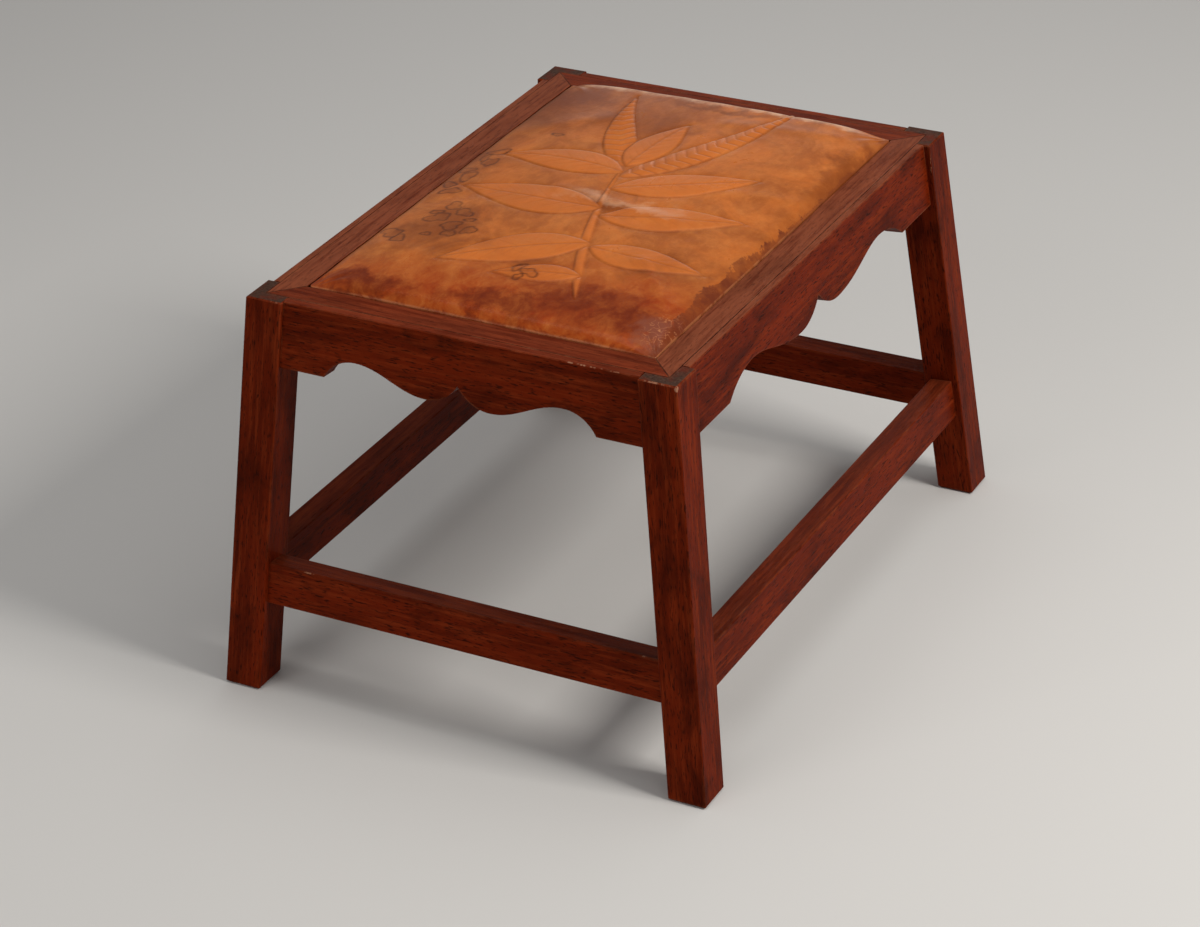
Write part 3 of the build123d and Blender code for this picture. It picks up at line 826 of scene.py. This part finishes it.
def leather_finish():
    """Hand-dyed tan leather with clouds, tide lines, dark cuts, painted shade and sheen, and a glaze."""
    f = Finish("tooled_leather")
    place = f.node("TexCoord").outputs["Object"]
    shake = f.node("TexNoise", Vector=place, Scale=26.0, Detail=5.0, Roughness=0.64).outputs["Color"]
    centred = f.vector("SUBTRACT", shake, (0.5, 0.5, 0.5))[0]
    moved = f.node("VectorMath", {"operation": "SCALE"}, i0=centred, Scale=0.090).outputs[0]
    ragged = f.vector("ADD", place, moved)[0]
    cloud = f.noise(f.placed(place, (1.0, 0.8, 1.0)), 14.0, 5.0, 0.62, 0.9)
    fine = f.noise(f.placed(place, (1.0, 0.7, 1.0), shift=(4.0, 1.0, 0.0)), 52.0, 5.0, 0.70, 0.5)
    parts = f.node("SeparateXYZ", Vector=place).outputs
    # clouds over the ground
    colour = f.blend(f.span(cloud, 0.42, 0.60), HIDE["tan"], HIDE["dull_tan"])
    colour = f.blend(f.span(fine, 0.44, 0.72, 0.0, 0.6), colour, HIDE["pale"])
    mottle = f.noise(f.placed(place, (1.0, 0.8, 1.0), shift=(2.0, 5.0, 0.0)), 120.0, 4.0, 0.72, 0.4)
    colour = f.blend(f.span(mottle, 0.50, 0.72, 0.0, 0.42), colour, HIDE["dull_tan"])
    colour = f.blend(f.span(mottle, 0.50, 0.32, 0.0, 0.28), colour, HIDE["pale"])
    # red and brown regions
    shaken = f.node("SeparateXYZ", Vector=ragged).outputs
    slant = f.math("SUBTRACT", shaken[1], f.both(shaken[0], 0.22))
    ember = f.both(f.span(slant, -0.150, -0.205), f.span(fine, 0.36, 0.64, 1.0, 0.50))
    colour = f.blend(ember, colour, HIDE["ember"])
    red = f.both(f.ovals(ragged, RED_FIELDS), f.span(fine, 0.35, 0.65, 1.0, 0.50))
    colour = f.blend(red, colour, HIDE["red"])
    brown = f.both(f.ovals(ragged, BROWN_FIELDS), f.span(cloud, 0.32, 0.60, 0.30, 0.78))
    colour = f.blend(brown, colour, HIDE["brown"])
    dusky_back = f.oval(ragged, (-84, 196, 412), (128, 112, 90))
    colour = f.blend(f.both(dusky_back, f.span(mottle, 0.30, 0.66, 0.34, 0.58)), colour, HIDE["brown"])
    # picture, a little brighter than the ground
    fill = f.node("Attribute", {"attribute_name": "fill"}).outputs["Fac"]
    colour = f.blend(f.both(fill, f.span(fine, 0.35, 0.65, 0.72, 0.36)), colour, HIDE["picture"])
    # the right side is browner than the middle
    colour = f.blend(f.span(shaken[0], HALF_X - 0.030, HALF_X + 0.004, 0.0, 0.55), colour, HIDE["brown"])
    # stained rim: a ragged band that is narrow at the back and wide at the front of the right side
    blot = f.noise(place, 48.0, 4.0, 0.65)
    shiver = f.both(f.math("SUBTRACT", fine, 0.5), 0.034)
    width = f.span(parts[1], 0.12, -0.12, -0.003, 0.0105)
    inward = f.math("ADD", f.math("ADD", parts[0], shiver), width)
    band = f.both(f.span(inward, HALF_X - 0.001, HALF_X + 0.001), f.span(blot, 0.38, 0.60, 0.95, 0.55))
    # painted shade: darker where the leather comes lowest, next to the frame
    low_shade = f.span(f.math("ADD", parts[2], f.both(shiver, 0.6)), 0.4012, 0.4030, 0.40, 0.0)
    colour = f.blend(f.either(band, low_shade), colour, HIDE["stain_and_low_shade"])
    # worn pale and painted sheen: the roll at the back and at the rear half of the left side,
    # and painted sheen along the long fold
    back_wear_and_sheen = f.span(f.math("ADD", parts[1], f.both(shiver, 0.7)), HALF_Y - 0.0200, HALF_Y - 0.0115)
    back_wear_and_sheen = f.both(back_wear_and_sheen, f.span(parts[2], 0.4070, 0.4105))
    left_edge = LEFT_GAP - HALF_X
    left_wear_and_sheen = f.span(parts[0], left_edge + 0.0065, left_edge + 0.0030, 0.0, 0.7)
    rear_half = f.both(f.span(parts[1], 0.0, 0.11), f.span(parts[2], 0.4018, 0.4034))
    worn = f.both(f.either(f.both(left_wear_and_sheen, rear_half), back_wear_and_sheen), f.span(blot, 0.38, 0.60, 0.80, 0.22))
    # painted sheen along the long fold across the middle
    fold_sheen = f.oval(ragged, (24, -20, 418), (80, 15, 60))
    worn = f.either(worn, f.both(fold_sheen, 0.30))
    colour = f.blend(worn, colour, HIDE["rim"])
    # dried puddles
    tide = f.node("Attribute", {"attribute_name": "tide"}).outputs["Fac"]
    colour = f.blend(f.both(tide, f.span(fine, 0.36, 0.64, 1.0, 0.68)), colour, HIDE["tide"])
    # cuts, and painted shade on the bevelled ground beside the outlines
    cut = f.node("Attribute", {"attribute_name": "cut"}).outputs["Fac"]
    colour = f.blend(f.both(cut, f.span(fine, 0.36, 0.64, 1.0, 0.55)), colour, HIDE["cut"])
    # bruise and hair-thin pale scuffs in the front right-hand corner, pale raw edge at front and right
    colour = f.blend(f.oval(ragged, (160, -226, 404), (24, 34, 60)), colour, HIDE["bruise"])
    hair = f.size_of(f.math("SUBTRACT", f.noise(place, 120.0, 1.0, 0.5, 0.6), 0.5))
    scuff = f.both(f.span(hair, 0.006, 0.022, 1.0, 0.0), f.oval(place, (163, -216, 404), (19, 36, 16)))
    edge_y = f.span(parts[1], 0.0014 - HALF_Y, 0.0007 - HALF_Y, 0.0, 0.38)
    edge_x = f.span(parts[0], HALF_X - 0.0009, HALF_X - 0.0005)
    edge_x = f.both(edge_x, f.span(parts[1], 0.11, -0.04, 0.06, 0.45))
    low_edge = f.span(parts[2], 0.4040, 0.4022)
    raw = f.both(f.both(f.either(edge_x, edge_y), low_edge), f.span(fine, 0.42, 0.54, 0.1, 0.8))
    colour = f.blend(f.either(f.both(scuff, 0.7), raw), colour, HIDE["raw"])
    f.set(f.shader, "Base Color", colour)
    f.set(f.shader, "Roughness", f.span(cloud, 0.3, 0.7, 0.26, 0.35))
    f.set(f.shader, "Specular IOR Level", 0.14)
    f.set(f.shader, "Specular Tint", (1.0, 0.80, 0.66, 1.0))
    f.set(f.shader, "Coat Weight", 0.08)
    f.set(f.shader, "Coat Roughness", 0.18)
    grain = f.noise(place, 900.0, 3.0, 0.6)
    wrinkle = f.noise(f.placed(place, (1.0, 0.45, 1.0)), 60.0, 4.0, 0.65, 1.5)
    height = f.math("ADD", f.both(grain, 0.25), wrinkle)
    f.set(f.shader, "Normal", f.bump(height, 0.45, 0.0007))
    return f.material


cover.data.materials.append(leather_finish())
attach(cover, "root")
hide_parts("leather_cover")

# %% [markdown]
# ## The padding
#
# Under the skin lies a firm pad of hair and felt. Nobody sees it, but a model that is taken apart
# should have it, so it is the same crowned form, a little smaller, closed below.

# %% Padding
PAD_GAP = 0.3 * MM
PAD_FOOT = FRAME_TOP + 0.2 * MM
PAD_STEP = 12.0 * MM
PAD_RINGS = [(11.5, 0.98), (9.0, 0.93), (7.0, 0.82), (5.5, 0.66), (4.0, 0.40), (3.0, 0.0)]


def pad_mesh(step):
    """Points and faces of the closed pad; each side ring keeps a share of the height under the leather."""
    gx, gy = grid_shape(step)
    square = np.stack([gx, gy], -1).reshape(-1, 2)
    plan = square * np.array([HALF_X - INNER_RING, HALF_Y - INNER_RING])
    shell = Shell()
    shell.add(lining(plan) - (0, 0, PAD_GAP))
    ring = border(*gx.shape)
    square = square[ring]
    for inset, share in PAD_RINGS:
        plan = ring_plan(square, inset * MM)
        top = taut_height(*plan.T) - LINING - PAD_GAP
        level = PAD_FOOT + share * np.maximum(top - PAD_FOOT, 0)
        ring = shell.join(ring, shell.add(np.column_stack([plan, level])))
    faces = [grid_faces(*gx.shape)] + shell.faces
    return np.concatenate(shell.points), np.concatenate(faces).tolist() + [ring[::-1].tolist()]


pad_points, pad_faces = pad_mesh(PAD_STEP)
pad = new_piece("seat_pad", pad_points, pad_faces)


def felt_finish():
    """Matt grey-brown felt."""
    f = Finish("felt")
    place = f.node("TexCoord").outputs["Object"]
    fibre = f.noise(place, 320.0, 4.0, 0.7, 1.0)
    f.set(f.shader, "Base Color", f.blend(fibre, (0.30, 0.26, 0.20, 1.0), (0.55, 0.50, 0.41, 1.0)))
    f.set(f.shader, "Roughness", 0.95)
    f.set(f.shader, "Normal", f.bump(fibre, 0.4, 0.001))
    return f.material


pad.data.materials.append(felt_finish())
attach(pad, "root")
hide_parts("seat_padding")

# %% [markdown]
# ## Tacks and screws
#
# The leather is folded under the seat board and tacked, and each corner block is screwed to a leg
# and up into the seat frame. All heads are the same kind of shape: a profile turned about an axis.
# One function turns it and repeats it at every place, with whole arrays.

# %% Small heads
def turned_heads(profile, sides, places, axes):
    """Profile points (radius, height) turned about an axis and repeated at places."""
    radius, height = (np.array(profile) * MM).T
    angle = np.linspace(0, 2 * math.pi, sides, endpoint=False)
    rows = len(profile)
    ring = np.stack([np.outer(radius, np.cos(angle)), np.outer(radius, np.sin(angle))], -1)
    points, faces, count = [], [], 0
    index = np.arange(rows * sides).reshape(rows, sides)
    after = np.roll(index, -1, axis=1)
    band = np.stack([index[:-1], after[:-1], after[1:], index[1:]], -1).reshape(-1, 4)
    for place, axis in zip(places, axes):
        axis = np.array(axis) / np.linalg.norm(axis)
        across = np.cross(axis, (0.0, 0.0, 1.0) if abs(axis[2]) < 0.9 else (1.0, 0.0, 0.0))
        across /= np.linalg.norm(across)
        other = np.cross(axis, across)
        body = ring[..., :1] * across + ring[..., 1:] * other + height[:, None, None] * axis
        points.append(body.reshape(-1, 3) + place)
        faces += (band + count).tolist()
        faces.append((index[0, ::-1] + count).tolist())
        faces.append((index[-1] + count).tolist())
        count += rows * sides
    return np.concatenate(points), faces


def metal_finish(name, clean, dull, roughness):
    """Old steel: two tones by noise, darker where it has dulled."""
    f = Finish(name)
    place = f.node("TexCoord").outputs["Object"]
    spots = f.noise(place, 480.0, 3.0, 0.7)
    f.set(f.shader, "Base Color", f.blend(f.span(spots, 0.40, 0.62), clean, dull))
    f.set(f.shader, "Metallic", 1.0)
    f.set(f.shader, "Roughness", f.span(spots, 0.3, 0.7, roughness, roughness + 0.25))
    return f.material


# %% Tacks
tack_profile = [(4.0, 0.0), (4.0, 0.25), (3.6, 0.60), (2.7, 0.95), (1.4, 1.15), (0.4, 1.20)]
under = cover_low[2]
TACK_INSET = 19 * MM
row_x, row_y = HALF_X - TACK_INSET, HALF_Y - TACK_INSET
tack_places = [(x, y, under) for x in np.linspace(-0.86, 0.86, 6) * HALF_X for y in (-row_y, row_y)]
tack_places += [(x, y, under) for y in np.linspace(-0.86, 0.86, 8) * HALF_Y for x in (-row_x, row_x)]
tack_axes = [(0, 0, -1)] * len(tack_places)
tacks = new_piece("cover_tacks", *turned_heads(tack_profile, 14, tack_places, tack_axes))
tack_tones = (0.20, 0.19, 0.18, 1.0), (0.07, 0.045, 0.030, 1.0)
tacks.data.materials.append(metal_finish("tack_steel", *tack_tones, 0.35))
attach(tacks, "root")

# %% Block screws
screw_profile = [(4.2, 0.0), (4.2, 0.35), (3.9, 0.80), (2.9, 1.30), (1.5, 1.60), (0.5, 1.65)]
block_low, block_high = (np.array(corner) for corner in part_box("corner_block_back_right"))
middle = (block_low + block_high) / 2
FACE_SHIFT = 4.4 * MM
screw_places, screw_axes = [], []
for sx in (-1, 1):
    for sy in (-1, 1):
        for in_x, in_y in ((40, 12), (12, 40)):
            spot = block_high[:2] - np.array([in_x, in_y]) * MM
            screw_places.append((sx * spot[0], sy * spot[1], block_low[2]))
            screw_axes.append((0, 0, -1))
        screw_places.append((sx * (middle[0] + FACE_SHIFT), sy * (middle[1] + FACE_SHIFT), middle[2]))
        screw_axes.append((-sx, -sy, 0))
screws = new_piece("block_screws", *turned_heads(screw_profile, 16, screw_places, screw_axes))
screw_tones = (0.34, 0.33, 0.32, 1.0), (0.14, 0.11, 0.09, 1.0)
screws.data.materials.append(metal_finish("screw_steel", *screw_tones, 0.38))
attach(screws, "root")
print("tacks:", len(tack_places), "screws:", len(screw_places))
